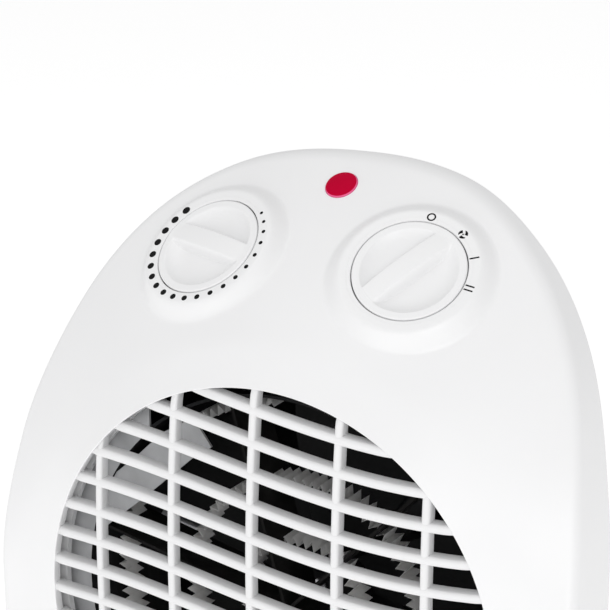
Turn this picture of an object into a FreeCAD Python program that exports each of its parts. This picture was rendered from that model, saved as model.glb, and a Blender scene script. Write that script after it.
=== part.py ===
import FreeCAD, Part
import os
import math
from FreeCAD import Vector as V

os.makedirs("parts", exist_ok=True)

# ------------------------------------------------------------------
# Fan convector heater: egg-shaped two-shell plastic housing, round
# wavy outlet grille, two rotary knobs on raised bosses, mains lamp.
# Working frame: Y = 0 is the plane of the outlet opening (+Y is back),
# Z = 0 is the fan axis, X = 0 the symmetry plane.  Every shape is moved
# by SHIFT on export, so that the floor is Z = 0 and the footprint box is
# centred on the origin.
# ------------------------------------------------------------------

# driving dimensions (mm)
AXIS_HEIGHT = 108.0      # fan axis above the floor
WALL = 2.2               # shell wall
R_OPEN = 77.4            # outlet opening radius
RIM_A = 101.2            # half width of the housing outline
RIM_TOP = 135.8          # outline above the fan axis
RIM_BOT = 105.5          # outline below the fan axis
RIM_P = 2.52             # outline exponent, upper half
RIM_PB = 3.5             # outline exponent, lower half
RING_R = 89.3            # outer edge of the flat ring round the outlet
RING_Y = 8.5             # set-back of that edge at the top
CORNER_Y = [(-90, 3.0), (-45, 3.0), (0, 3.0), (25, 15.6), (45, 36.5), (60, 51.8),
            (75, 65.2), (90, 68.6), (105, 65.2), (120, 51.8)]
SIDE_W = [(-90, 24.0), (-45, 24.0), (0, 24.8), (45, 11.4), (75, 2.2), (90, 1.4), (105, 2.2), (135, 11.4)]
BOW = [(-90, 0.04), (0, 0.09), (90, 0.17), (120, 0.14)]
CORNER_R = 3.4           # rounding of the face's outer corner
BACK_Y = 106.0           # back plane of the rear shell
BACK_A, BACK_T, BACK_B = 64.0, 96.0, 101.0
BACK_P, BACK_PB = 2.4, 3.5
PART_INSET = 0.8         # rear shell set in from the front shell's edge
LIP_T, LIP_D = 2.0, 7.0  # lip turned in round the outlet

KNOB_X, KNOB_Y, KNOB_Z = 35.33, 33.15, 110.50   # centre of a boss face
KNOB_AZ, KNOB_EL = 12.96, 48.70                 # direction that it faces
KNOB_R = 17.5
KNOB_GAP = 0.6
BOSS_R, BOSS_FOOT_R, BOSS_H = 21.6, 26.6, 3.3
CUP_DEPTH = 5.8
POINTER_LEFT = -6.0      # thermostat ridge angle in its boss plane
POINTER_RIGHT = 47.4     # selector ridge angle

LENS_Y, LENS_Z, LENS_EL, LENS_R = 57.2, 128.25, 55.45, 5.35

LOUVRE_PITCH = 9.916
LOUVRE_FIRST = 69.40     # lower front edge of the top louvre at X = 0
LOUVRE_T, LOUVRE_D = 2.8, 5.0
WAVE_A, WAVE_K = 8.06, 0.02356
DOME = 6.9               # how far the grille's middle stands forward
VBAR_X = 28.44
VBAR_SHIFT = [-0.95, -0.95, -0.95, -0.5, -0.5]   # upright bars are not quite evenly spaced
VBAR_W, VBAR_D = 2.6, 4.7
GRILLE_GAP = 0.2          # radial clearance of the grille in the opening

DUCT_R, DUCT_T = 71.0, 1.0
FLANGE_X = 46.0           # the duct has front flanges at its two sides only
TAB_EDGE = [(-51.5, 44.9), (-46.8, 49.3), (-41.3, 54.1), (-33.4, 58.6), (-28.3, 57.1), (-24.2, 51.4), (-31.3, 46.7), (-50.0, 30.5)]
FAN_R = 63.0
SHAFT_R = 2.5

# ------------------------------------------------------------------
# helpers
# ------------------------------------------------------------------

def pchip(knots, x):
    xs = [k[0] for k in knots]
    ys = [k[1] for k in knots]
    n = len(xs)
    if x <= xs[0]:
        return ys[0]
    if x >= xs[-1]:
        return ys[-1]
    h = [xs[i + 1] - xs[i] for i in range(n - 1)]
    d = [(ys[i + 1] - ys[i]) / h[i] for i in range(n - 1)]
    m = [0.0] * n
    for i in range(1, n - 1):
        if d[i - 1] * d[i] > 0:
            w1 = 2 * h[i] + h[i - 1]
            w2 = h[i] + 2 * h[i - 1]
            m[i] = (w1 + w2) / (w1 / d[i - 1] + w2 / d[i])
    i = 0
    while x > xs[i + 1]:
        i += 1
    t = (x - xs[i]) / h[i]
    return ((2 * t**3 - 3 * t**2 + 1) * ys[i] + (t**3 - 2 * t**2 + t) * h[i] * m[i]
            + (-2 * t**3 + 3 * t**2) * ys[i + 1] + (t**3 - t**2) * h[i] * m[i + 1])


def superell(th, a, bt, bb, pt, pb):
    c, s = abs(math.cos(th)), math.sin(th)
    b, p = (bt, pt) if s >= 0 else (bb, pb)
    return ((c / a) ** p + (abs(s) / b) ** p) ** (-1.0 / p)


def smooth(t):
    t = max(0.0, min(1.0, t))
    return t * t * (3 - 2 * t)


def face_profile(th):
    """(r, y) points of the front shell's outer skin at angle th, from the outlet to the parting edge."""
    deg = math.degrees(th)
    R = superell(th, RIM_A, RIM_TOP, RIM_BOT, RIM_P, RIM_PB)
    ye = pchip(CORNER_Y, deg)
    w = pchip(SIDE_W, deg)
    k = pchip(BOW, deg)
    sm = smooth(deg / 50.0)
    rb = RING_R + 3.0 * (1 - sm)
    yb = 2.4 + (RING_Y - 2.4) * sm
    L = math.hypot(R - rb, ye - yb)
    pts = []

    def panel(t):
        return rb + (R - rb) * t, yb + (ye - yb) * ((1 - k) * t + k * t * t)
    blend = 0.16
    # ring, then a soft crease, then the panel
    for t in (0.0, 0.25, 0.5, 0.72):
        pts.append((R_OPEN + (rb - R_OPEN) * t, yb * t))
    p0 = (R_OPEN + (rb - R_OPEN) * 0.86, yb * 0.86)
    p1 = (rb, yb)
    p2 = panel(min(blend, 4.0 / L))
    for t in (0.0, 0.25, 0.5, 0.75, 1.0):
        pts.append(((1 - t)**2 * p0[0] + 2 * t * (1 - t) * p1[0] + t * t * p2[0],
                    (1 - t)**2 * p0[1] + 2 * t * (1 - t) * p1[1] + t * t * p2[1]))
    t0 = min(blend, 4.0 / L)
    cut = max(0.45, 1 - CORNER_R / L)
    for i in range(1, 13):
        pts.append(panel(t0 + (cut - t0) * i / 12.0))
    s0 = panel(cut)
    dr = R - rb
    dy = (ye - yb) * ((1 - k) + 2 * k * cut)
    cy = s0[1] + dy / dr * (R - s0[0])
    e = cy + CORNER_R
    for i in range(1, 7):
        t = i / 6.0
        pts.append(((1 - t)**2 * s0[0] + 2 * t * (1 - t) * R + t * t * R,
                    (1 - t)**2 * s0[1] + 2 * t * (1 - t) * cy + t * t * e))
    for i in range(1, 5):
        t = i / 4.0
        pts.append((R, e + w * t))
    return pts


def rear_profile(th):
    """(r, y) points of the rear shell's outer skin, from the parting edge to the back panel."""
    R, yp = face_profile(th)[-1]
    R -= PART_INSET
    rb = superell(th, BACK_A, BACK_T, BACK_B, BACK_P, BACK_PB)
    h = BACK_Y - yp
    lean = 0.5 if th > 0 else 0.5 - 0.49 * smooth(-math.degrees(th) / 60.0)
    p0 = (R, yp)
    p1 = (R - lean * 0.42 * h, yp + 0.42 * h)
    p2 = (rb + 15.0 + (0.0 if th > 0 else -12.0 * smooth(-math.degrees(th) / 60.0)), BACK_Y)
    p3 = (rb - 4.0, BACK_Y)
    pts = []
    for i in range(0, 21):
        t = i / 20.0
        a, b, c, d = (1 - t)**3, 3 * t * (1 - t)**2, 3 * t * t * (1 - t), t**3
        pts.append((a * p0[0] + b * p1[0] + c * p2[0] + d * p3[0],
                    a * p0[1] + b * p1[1] + c * p2[1] + d * p3[1]))
    for i in range(1, 4):
        t = i / 3.0
        pts.append((p3[0] + (50.0 - p3[0]) * t, BACK_Y))
    return pts


ANGLES = [-90.0, -88.2] + [-86.25 + 3.75 * i for i in range(47)] + [88.2, 90.0]


def grid_of(profile):
    g = []
    n = len(ANGLES)
    for i, deg in enumerate(ANGLES):
        th = math.radians(deg)
        flat = i in (0, 1, n - 2, n - 1)
        pr = profile(math.radians(math.copysign(90.0, deg)) if flat else th)
        row = []
        for r, y in pr:
            x = 0.0 if i in (0, n - 1) else r * math.cos(th)
            z = math.copysign(r, deg) if flat else r * math.sin(th)
            row.append(V(x, y, z))
        g.append(row)
    return g


def skin(g):
    """smooth cubic surface over a net of points."""
    nu, nv = len(g), len(g[0])

    def kn(n):
        k = [float(i) for i in range(n - 2)]
        m = [4] + [1] * (len(k) - 2) + [4]
        return k, m
    ku, mu = kn(nu)
    kv, mv = kn(nv)
    s = Part.BSplineSurface()
    s.buildFromPolesMultsKnots(g, mu, mv, ku, kv, False, False, 3, 3)
    return s


def offset_grid(g, d):
    """the net moved by d along its normals, towards the inside of the housing."""
    n, m = len(g), len(g[0])
    out = []
    for i in range(n):
        row = []
        for j in range(m):
            if i == 0 or i == n - 1:
                a = V(2.0 if i == 0 else -2.0, 0, 0)
            else:
                a = g[i + 1][j] - g[i - 1][j]
            b = g[i][min(j + 1, m - 1)] - g[i][max(j - 1, 0)]
            nv = a.cross(b)
            nv.normalize()
            row.append(g[i][j] + nv * d)
        out.append(row)
    for j in range(m):
        out[0][j].x = 0.0
        out[n - 1][j].x = 0.0
        out[1][j].y, out[1][j].z = out[0][j].y, out[0][j].z
        out[n - 2][j].y, out[n - 2][j].z = out[n - 1][j].y, out[n - 1][j].z
    return out


def half_solid(go, gi):
    so, si = skin(go), skin(gi)
    fo, fi = so.toShape(), si.toShape()

    def iso(s, which):
        u0, u1, v0, v1 = s.bounds()
        return {"u0": s.uIso(u0), "u1": s.uIso(u1), "v0": s.vIso(v0), "v1": s.vIso(v1)}[which].toShape()
    faces = [fo, fi]
    for w in ("v0", "v1"):
        faces.append(Part.makeRuledSurface(iso(so, w), iso(si, w)))
    for w in ("u0", "u1"):
        faces.append(Part.makeRuledSurface(iso(so, w), iso(si, w)))
    sh = Part.makeShell(faces)
    sh.sewShape(1e-4)
    if sh.ShapeType == "Compound":
        sh = sh.Shells[0]
    s = Part.makeSolid(sh)
    if s.Volume < 0:
        s.reverse()
    return s


def whole(go, gi):
    h = half_solid(go, gi)
    m = h.mirror(V(0, 0, 0), V(1, 0, 0))
    f = h.fuse(m)
    if len(f.Solids) != 1:
        print("warning: halves gave", len(f.Solids))
    return f.Solids[0]


def cyl(r, p, d, h):
    return Part.makeCylinder(r, h, p, d)


def ycyl(r, y0, y1, x=0.0, z=0.0):
    return Part.makeCylinder(r, y1 - y0, V(x, y0, z), V(0, 1, 0))


def box(x0, x1, y0, y1, z0, z1):
    return Part.makeBox(x1 - x0, y1 - y0, z1 - z0, V(x0, y0, z0))


def plane_frame(az, el, side):
    a, e = math.radians(az), math.radians(el)
    n = V(side * math.sin(a) * math.cos(e), -math.cos(a) * math.cos(e), math.sin(e))
    u = V(0, 0, 1).cross(n)
    u.normalize()
    v = n.cross(u)
    return u, v, n


def place(shape, u, v, n, o):
    """moves a shape made about +Z at the origin so that X,Y,Z go to u,v,n and the origin to o."""
    m = FreeCAD.Matrix(u.x, v.x, n.x, o.x, u.y, v.y, n.y, o.y, u.z, v.z, n.z, o.z, 0, 0, 0, 1)
    s = shape.copy()
    s.transformShape(m, True)
    return s


def single(s):
    s = s.removeSplitter()
    sol = sorted(s.Solids, key=lambda q: -q.Volume)
    return sol[0]

# ------------------------------------------------------------------
# housing
# ------------------------------------------------------------------

g_face = grid_of(face_profile)
g_face_in = offset_grid(g_face, WALL)
sgn = 1
if g_face_in[24][2].y < 0:
    g_face_in = offset_grid(g_face, -WALL)
    sgn = -1
front = whole(g_face, g_face_in)
print("front skin", front.isValid(), round(front.Volume), len(front.Faces))

g_rear = grid_of(rear_profile)
g_rear_in = offset_grid(g_rear, WALL * sgn)
if g_rear_in[24][-1].y > BACK_Y:
    g_rear_in = offset_grid(g_rear, -WALL * sgn)
rear = whole(g_rear, g_rear_in)
print("rear skin", rear.isValid(), round(rear.Volume), len(rear.Faces))


def filled(g):
    """closed solid body inside the net g, for trimming pieces to the housing's outside."""
    n, m = len(g), len(g[0])
    core = []
    for i, deg in enumerate(ANGLES):
        th = math.radians(deg)
        y0, y1 = g[i][0].y, g[i][-1].y
        row = [V(0.0 if i in (0, n - 1) else 3.0 * math.cos(th), y0 + (y1 - y0) * j / (m - 1.0),
                 3.0 * math.sin(th)) for j in range(m)]
        core.append(row)
    core[1] = [V(core[1][j].x, core[0][j].y, core[0][j].z) for j in range(m)]
    core[n - 2] = [V(core[n - 2][j].x, core[n - 1][j].y, core[n - 1][j].z) for j in range(m)]
    return whole(g, core)


rear_full = filled(g_rear)
print("rear envelope", rear_full.isValid(), round(rear_full.Volume))


def frame_dirs():
    return plane_frame(KNOB_AZ, KNOB_EL, -1), plane_frame(KNOB_AZ, KNOB_EL, 1)


(uL, vL, nL), (uR, vR, nR) = frame_dirs()
oL = V(-KNOB_X, KNOB_Y, KNOB_Z)
oR = V(KNOB_X, KNOB_Y, KNOB_Z)

# raised bosses, each a cup that the knob sits in
cup_out_r = KNOB_R + KNOB_GAP + 1.8
boss = Part.makeCone(BOSS_FOOT_R + 1.4, BOSS_R, BOSS_H + 1.0, V(0, 0, -BOSS_H - 1.0), V(0, 0, 1))
boss = boss.fuse(Part.makeCylinder(cup_out_r, 5.0, V(0, 0, -CUP_DEPTH - 2.0), V(0, 0, 1)))
boss_cut = Part.makeCylinder(KNOB_R + KNOB_GAP, 20.0, V(0, 0, -CUP_DEPTH), V(0, 0, 1))
boss_cut = boss_cut.fuse(Part.makeCylinder(6.0, 20.0, V(0, 0, -CUP_DEPTH - 8.0), V(0, 0, 1)))
for (u, v, n, o) in ((uL, vL, nL, oL), (uR, vR, nR, oR)):
    front = front.fuse(place(boss, u, v, n, o))
for (u, v, n, o) in ((uL, vL, nL, oL), (uR, vR, nR, oR)):
    front = front.cut(place(boss_cut, u, v, n, o))
print("bosses", front.isValid(), len(front.Solids))

# lamp window
uT, vT, nT = plane_frame(0.0, LENS_EL, 1)
oT = V(0, LENS_Y, LENS_Z)
front = front.cut(place(Part.makeCylinder(LENS_R + 0.05, 14.0, V(0, 0, -8), V(0, 0, 1)), uT, vT, nT, oT))

# lip turned in round the outlet
lip = ycyl(R_OPEN + LIP_T, 0.9, LIP_D).cut(ycyl(R_OPEN, 0.5, LIP_D + 1))
front = front.fuse(lip)
front = front.cut(ycyl(R_OPEN, -20, 14))

# screw posts: four short ones carry the duct, four long ones take the case screws
POST_DUCT = [(x, z) for x in (-59.5, 59.5) for z in (-59.5, 59.5)]
POST_CASE_TOP = [(-62.0, 92.0), (62.0, 92.0)]
POST_CASE_BOT = [(-64.0, -76.0), (64.0, -76.0)]
DUCT_FLANGE_Y = 58.0
CASE_JOINT_Y = {"top": 66.0, "bot": 62.0}


def skin_y(x, z):
    """outer face of the front panel over the point (x, z)."""
    th = math.atan2(z, x if x > 0 else -x)
    pr = face_profile(th)
    r = math.hypot(x, z)
    for (r0, y0), (r1, y1) in zip(pr, pr[1:]):
        if r0 <= r <= r1 and r1 > r0:
            return y0 + (y1 - y0) * (r - r0) / (r1 - r0)
    return pr[-1][1]


def post_start(x, z):
    return max(skin_y(x + 4.4 * math.cos(k * 0.7854), z + 4.4 * math.sin(k * 0.7854)) for k in range(8)) + 0.9


for x, z in POST_DUCT:
    y0 = post_start(x, z)
    p = ycyl(4.2, y0, DUCT_FLANGE_Y - 1.2, x, z)
    front = front.fuse(p)
    front = front.cut(ycyl(1.3, DUCT_FLANGE_Y - 15, DUCT_FLANGE_Y, x, z))
for (x, z) in POST_CASE_TOP:
    front = front.fuse(ycyl(4.2, post_start(x, z), CASE_JOINT_Y["top"], x, z))
    front = front.cut(ycyl(1.4, CASE_JOINT_Y["top"] - 16, CASE_JOINT_Y["top"] + 1, x, z))
for (x, z) in POST_CASE_BOT:
    front = front.fuse(ycyl(4.2, post_start(x, z), CASE_JOINT_Y["bot"], x, z))
    front = front.cut(ycyl(1.4, CASE_JOINT_Y["bot"] - 16, CASE_JOINT_Y["bot"] + 1, x, z))
print("front", front.isValid(), len(front.Solids), round(front.Volume))
front_shell = single(front)

# ------------------------------------------------------------------
# rear shell: back panel with air slots, grip pocket, posts, cord inlet
# ------------------------------------------------------------------
disc = ycyl(51.5, BACK_Y - 3.2, BACK_Y - 0.5)
R_SLOT = 45.0
slot_h, slot_pitch = 3.4, 7.2
for i in range(-6, 7):
    z = i * slot_pitch
    hw = math.sqrt(max(R_SLOT**2 - z * z, 0))
    if hw < 12:
        continue
    s = box(-hw, hw, BACK_Y - 5, BACK_Y + 2, z - slot_h / 2, z + slot_h / 2)
    disc = disc.cut(s)
# ribs keep the slots narrow
ribs = None
for x in (-26.0, 0.0, 26.0):
    b = box(x - 1.6, x + 1.6, BACK_Y - 3.2, BACK_Y - 0.6, -47.0, 47.0)
    disc = disc.fuse(b)
rear = rear.fuse(disc)

# grip pocket across the upper back
GRIP_W, GRIP_H, GRIP_Y0 = 78.0, 20.0, 80.0
GRIP_Z = 66.0
pk_out = box(-GRIP_W / 2 - 2, GRIP_W / 2 + 2, GRIP_Y0 - 2, BACK_Y - 0.7, GRIP_Z - 2, GRIP_Z + GRIP_H + 2)
pk_out = pk_out.makeFillet(5.0, [e for e in pk_out.Edges if abs(e.tangentAt(e.FirstParameter).y) > 0.9])
pk_in = box(-GRIP_W / 2, GRIP_W / 2, GRIP_Y0, BACK_Y + 5, GRIP_Z, GRIP_Z + GRIP_H)
pk_in = pk_in.makeFillet(3.2, [e for e in pk_in.Edges if abs(e.tangentAt(e.FirstParameter).y) > 0.9])
rear = rear.fuse(pk_out).cut(pk_in)

# case-screw posts with counterbored heads
HEAD_Y = {}
for key, pts in (("top", POST_CASE_TOP), ("bot", POST_CASE_BOT)):
    for (x, z) in pts:
        yj = CASE_JOINT_Y[key]
        th = math.atan2(z, abs(x))
        r = math.hypot(x, z)
        pr = rear_profile(th)
        ys = BACK_Y
        for (r0, y0), (r1, y1) in zip(pr, pr[1:]):
            if r1 <= r <= r0 and r0 > r1:
                ys = y0 + (y1 - y0) * (r0 - r) / (r0 - r1)
        HEAD_Y[key] = ys
        post = ycyl(5.6, yj, BACK_Y - 1.0, x, z).common(rear_full)
        rear = rear.fuse(post)
        rear = rear.cut(ycyl(3.9, yj + 6.0, BACK_Y + 8, x, z))
        rear = rear.cut(ycyl(1.9, yj - 1, BACK_Y, x, z))
print("case post outer faces", HEAD_Y)

# cord inlet low on the right of the back
GL_X, GL_Z = 40.0, -62.0
GLAND_R = 5.2
rear = rear.cut(ycyl(GLAND_R, BACK_Y - 12, BACK_Y + 8, GL_X, GL_Z))
print("rear", rear.isValid(), len(rear.Solids), round(rear.Volume))
rear_shell = single(rear)

# ------------------------------------------------------------------
# outlet grille: wavy louvres on a shallow dome, five upright bars, ring
# ------------------------------------------------------------------

def dome_y(x, z):
    q = min(1.0, (x * x + z * z) / (R_OPEN * R_OPEN))
    return -DOME * (1 - q)


def wave(x):
    # S-shaped run of a louvre, levelling out towards its ends
    return -WAVE_A * math.sin(max(-math.pi / 2, min(math.pi / 2, WAVE_K * x)))


def bar_from_sections(secs):
    wires = []
    for s in secs:
        wires.append(Part.makePolygon(s + [s[0]]))
    return Part.makeLoft(wires, True, False)


louvres = []
z0 = LOUVRE_FIRST + LOUVRE_T / 2
XS = [-80 + 8 * i for i in range(21)]
for k in range(-1, 17):
    zc = z0 - k * LOUVRE_PITCH
    if abs(zc) - 9 > R_OPEN:
        continue
    secs = []
    for x in XS:
        z = zc + wave(x)
        yf = dome_y(x, min(max(z, -R_OPEN), R_OPEN))
        h, d = LOUVRE_T / 2, LOUVRE_D
        secs.append([V(x, yf, z - h + 0.5), V(x, yf, z + h - 0.5), V(x, yf + 0.6, z + h),
                     V(x, yf + d, z + h - 0.3), V(x, yf + d, z - h + 0.3), V(x, yf + 0.6, z - h)])
    louvres.append(bar_from_sections(secs))
vbars = []
for i in range(-2, 3):
    x = i * VBAR_X + VBAR_SHIFT[i + 2]
    secs = []
    for j in range(21):
        z = -80 + 8 * j
        yf = dome_y(x, z) + 0.25
        h = VBAR_W / 2
        secs.append([V(x - h + 0.5, yf, z), V(x + h - 0.5, yf, z), V(x + h, yf + 0.6, z),
                     V(x + h, yf + VBAR_D, z), V(x - h, yf + VBAR_D, z), V(x - h, yf + 0.6, z)])
    vbars.append(bar_from_sections(secs))
grid = vbars[0].multiFuse(vbars[1:] + louvres)
grid = grid.common(ycyl(R_OPEN - GRILLE_GAP, -20, 12))
ring = ycyl(R_OPEN - GRILLE_GAP, 4.9, 9.5).cut(ycyl(R_OPEN - 1.6, 4, 11))
flange = ycyl(R_OPEN + 4.5, LIP_D + 0.1, 9.5).cut(ycyl(R_OPEN - 0.8, LIP_D - 2, 11))
for x, z in POST_DUCT:
    flange = flange.cut(ycyl(4.8, 0, 12, x, z))
grid = grid.fuse(ring).fuse(flange)
print("grille", grid.isValid(), len(grid.Solids), [round(s.Volume) for s in grid.Solids][:6])
front_grille = single(grid)

# ------------------------------------------------------------------
# knobs
# ------------------------------------------------------------------
KNOB_BOT = -5.0
RIDGE_W = 9.0
ridge_top = 1.1


def make_knob():
    k = Part.makeCylinder(KNOB_R, 0.3 - KNOB_BOT, V(0, 0, KNOB_BOT), V(0, 0, 1))
    k = k.makeFillet(0.7, [e for e in k.Edges if len(e.Vertexes) == 1 and abs(e.Vertexes[0].Z - 0.3) < 1e-6])
    for s in (1, -1):
        y0, y1 = s * RIDGE_W / 2, s * 15.6
        prof = Part.makePolygon([V(0, y0, 2), V(0, y0, -3.3), V(0, s * 7.5, -2.9), V(0, y1, -0.5), V(0, y1, 2), V(0, y0, 2)])
        f = Part.Face(prof)
        w = f.extrude(V(40, 0, 0))
        w.translate(V(-20, 0, 0))
        w = w.common(Part.makeCylinder(15.4, 8, V(0, 0, -4), V(0, 0, 1)))
        k = k.cut(w)
    ridge = Part.makeBox(30.4, RIDGE_W, 3.0, V(-15.2, -RIDGE_W / 2, -3.0 + ridge_top))
    ridge = ridge.common(Part.makeSphere(40.0, V(0, 0, ridge_top - 40.0)))
    k = k.fuse(ridge)
    hub = Part.makeCylinder(5.2, 8.0, V(0, 0, KNOB_BOT - 6.0), V(0, 0, 1))
    k = k.fuse(hub)
    k = k.cut(Part.makeCylinder(3.0, 7.0, V(0, 0, KNOB_BOT - 7.0), V(0, 0, 1)))
    return single(k)


def rot(shape, deg):
    s = shape.copy()
    s.rotate(V(0, 0, 0), V(0, 0, 1), deg)
    return s


knob = make_knob()
thermostat_knob = place(rot(knob, POINTER_LEFT), uL, vL, nL, oL)
selector_knob = place(rot(knob, POINTER_RIGHT), uR, vR, nR, oR)

# spindles and the controls that they turn
BODY_TOP = -13.0
spindle = Part.makeCylinder(3.0, 14.0, V(0, 0, -19.0), V(0, 0, 1))
spindle = spindle.cut(box(-4, 4, 2.0, 4, -8.0, -4.0))
thermostat_shaft = place(spindle, uL, vL, nL, oL)
selector_shaft = place(spindle, uR, vR, nR, oR)

th_body = box(-13, 13, -12, 12, -26.0, BODY_TOP - 1.6)
th_body = th_body.fuse(Part.makeCylinder(6.5, 2.6, V(0, 0, BODY_TOP - 2.6), V(0, 0, 1)))
th_body = th_body.fuse(box(-16, 16, -5, 5, -15.8, -14.6))
th_body = th_body.cut(Part.makeCylinder(3.05, 14, V(0, 0, -19.0), V(0, 0, 1)))
thermostat_body = place(single(th_body), uL, vL, nL, oL)
sw_body = box(-13.5, 13.5, -13.5, 13.5, -30.0, BODY_TOP - 1.6)
sw_body = sw_body.makeFillet(2.0, [e for e in sw_body.Edges if abs(e.tangentAt(e.FirstParameter).z) > 0.9])
sw_body = sw_body.fuse(Part.makeCylinder(6.5, 2.6, V(0, 0, BODY_TOP - 2.6), V(0, 0, 1)))
sw_body = sw_body.cut(Part.makeCylinder(3.05, 14, V(0, 0, -19.0), V(0, 0, 1)))
selector_switch = place(single(sw_body), uR, vR, nR, oR)

# cover plates screwed under the cups hold the two controls
cp = Part.makeCylinder(19.0, 1.2, V(0, 0, -CUP_DEPTH - 3.2), V(0, 0, 1))
cp = cp.cut(Part.makeCylinder(6.0, 4, V(0, 0, -CUP_DEPTH - 4.4), V(0, 0, 1)))
legs = None
for s in (-1, 1):
    cp = cp.fuse(box(s * 15.6 - 1.2 if s < 0 else 14.4, -14.4 if s < 0 else 16.8, -4, 4, -14.6, -CUP_DEPTH - 2.4))
control_brackets = [place(single(cp), uL, vL, nL, oL), place(single(cp), uR, vR, nR, oR)]

# lamp lens and neon lamp
lens = Part.makeCylinder(LENS_R, 4.4, V(0, 0, -4.0), V(0, 0, 1))
lens = lens.makeFillet(0.8, [e for e in lens.Edges if len(e.Vertexes) == 1 and e.Vertexes[0].Z > 0])
lens = lens.fuse(Part.makeCylinder(LENS_R + 1.6, 1.2, V(0, 0, -4.6), V(0, 0, 1)))
lens = lens.fuse(Part.makeCylinder(4.4, 5.0, V(0, 0, -8.0), V(0, 0, 1)))
lens = lens.cut(Part.makeCylinder(3.4, 7.0, V(0, 0, -9.0), V(0, 0, 1)))
indicator_lens = place(single(lens), uT, vT, nT, oT)
neon = Part.makeCylinder(3.2, 9.0, V(0, 0, -14.0), V(0, 0, 1)).fuse(Part.makeSphere(3.2, V(0, 0, -5.6)))
neon = neon.common(Part.makeCylinder(3.2, 11.2, V(0, 0, -14.0), V(0, 0, 1)))
neon_lamp = place(single(neon), uT, vT, nT, oT)

# ------------------------------------------------------------------
# heating pack and fan
# ------------------------------------------------------------------
duct = ycyl(DUCT_R + DUCT_T, 12.0, DUCT_FLANGE_Y).cut(ycyl(DUCT_R, 10, DUCT_FLANGE_Y + 1))
fl = ycyl(DUCT_R + 6.0, DUCT_FLANGE_Y - 1.2, DUCT_FLANGE_Y)
for x, z in POST_DUCT:
    fl = fl.fuse(ycyl(6.0, DUCT_FLANGE_Y - 1.2, DUCT_FLANGE_Y, x, z))
fl = fl.cut(ycyl(DUCT_R, 10, DUCT_FLANGE_Y + 1))
for x, z in POST_DUCT:
    fl = fl.cut(ycyl(1.8, 40, DUCT_FLANGE_Y + 1, x, z))
front_fl = ycyl(83.0, 12.0, 13.0).cut(ycyl(DUCT_R, 11, 14))
for x, z in POST_DUCT:
    front_fl = front_fl.cut(ycyl(4.8, 11, 14, x, z))
front_fl = front_fl.cut(box(-FLANGE_X, FLANGE_X, 11, 14, -90, 90))
heat_duct = single(duct.fuse(fl).fuse(front_fl))

# one sheet tab, fixed to the duct wall, that keeps the heating pack from creeping forward
TAB_Y = 13.2
tab_pts = [((DUCT_R - 0.1) * math.cos(math.radians(a)), (DUCT_R - 0.1) * math.sin(math.radians(a)))
           for a in (168.0, 164.0, 160.0, 156.0, 152.0, 148.0)]
tab_pts += TAB_EDGE
tab = Part.Face(Part.makePolygon([V(x, 0, z) for x, z in tab_pts + [tab_pts[0]]])).extrude(V(0, 0.9, 0))
tab.translate(V(0, TAB_Y, 0))
element_tab = tab

# mica boards crossed in the duct, with notches for the heating ribbon
EL_Y0, EL_Y1 = 15.0, 35.0
RIBBON = [20.0, 40.0, 66.0]
RIB_GAP = (22.0, 96.0)      # the outer winding is open between its two ends
RIB_T, RIB_Y0, RIB_Y1 = 1.6, 23.5, 33.0
mica = None
for a in (0, 60, 120):
    b = box(-DUCT_R + 0.2, DUCT_R - 0.2, EL_Y0, EL_Y1, -0.5, 0.5)
    b.rotate(V(0, 0, 0), V(0, 1, 0), a + 15)
    mica = b if mica is None else mica.fuse(b)
rings = []
for r in RIBBON:
    rg = ycyl(r + RIB_T / 2, RIB_Y0, RIB_Y1).cut(ycyl(r - RIB_T / 2, RIB_Y0 - 1, RIB_Y1 + 1))
    if r == RIBBON[-1]:
        wedge = [V(0, RIB_Y0 - 2, 0)] + [V(110 * math.cos(math.radians(a)), RIB_Y0 - 2, 110 * math.sin(math.radians(a)))
                                         for a in (RIB_GAP[0], 0.5 * (RIB_GAP[0] + RIB_GAP[1]), RIB_GAP[1])]
        rg = rg.cut(Part.Face(Part.makePolygon(wedge + [wedge[0]])).extrude(V(0, RIB_Y1 - RIB_Y0 + 4, 0)))
    rings.append(rg)
for rg in rings:
    mica = mica.cut(rg)
mica_frame = single(mica)
heating_ribbon = rings

# cut-out thermostat and thermal fuse clipped on a mica board
c60 = math.radians(15)
cut_out = ycyl(8.0, 36.2, 41.0, 50 * math.cos(c60), -50 * math.sin(c60))
cut_out = cut_out.fuse(box(50 * math.cos(c60) - 9, 50 * math.cos(c60) + 9, 35.0, 36.4, -50 * math.sin(c60) - 4, -50 * math.sin(c60) + 4))
thermal_cutout = single(cut_out)
tf = cyl(1.9, V(-58.0, 37.1, 15.5), V(1, 0, -0.268), 14.0)
thermal_fuse = tf

# bracket behind the fan: hub plate with four arms to the duct posts
SP_Y = DUCT_FLANGE_Y + 0.0
arms = ycyl(21.0, SP_Y, SP_Y + 1.8)
for a in (45, 135):
    b = box(-84.2, 84.2, SP_Y, SP_Y + 1.8, -5.5, 5.5)
    b.rotate(V(0, 0, 0), V(0, 1, 0), a)
    arms = arms.fuse(b)
arms = arms.common(ycyl(90.0, SP_Y - 1, SP_Y + 3))
for x, z in POST_DUCT:
    arms = arms.cut(ycyl(1.8, SP_Y - 1, SP_Y + 4, x, z))
arms = arms.cut(ycyl(7.0, SP_Y - 1, SP_Y + 4))
for s in (-1, 1):
    arms = arms.cut(ycyl(2.0, SP_Y - 1, SP_Y + 4, s * 23.0 * math.cos(0.5) * 0.80, s * 0 + 10.0))
motor_bracket = single(arms)

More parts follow.
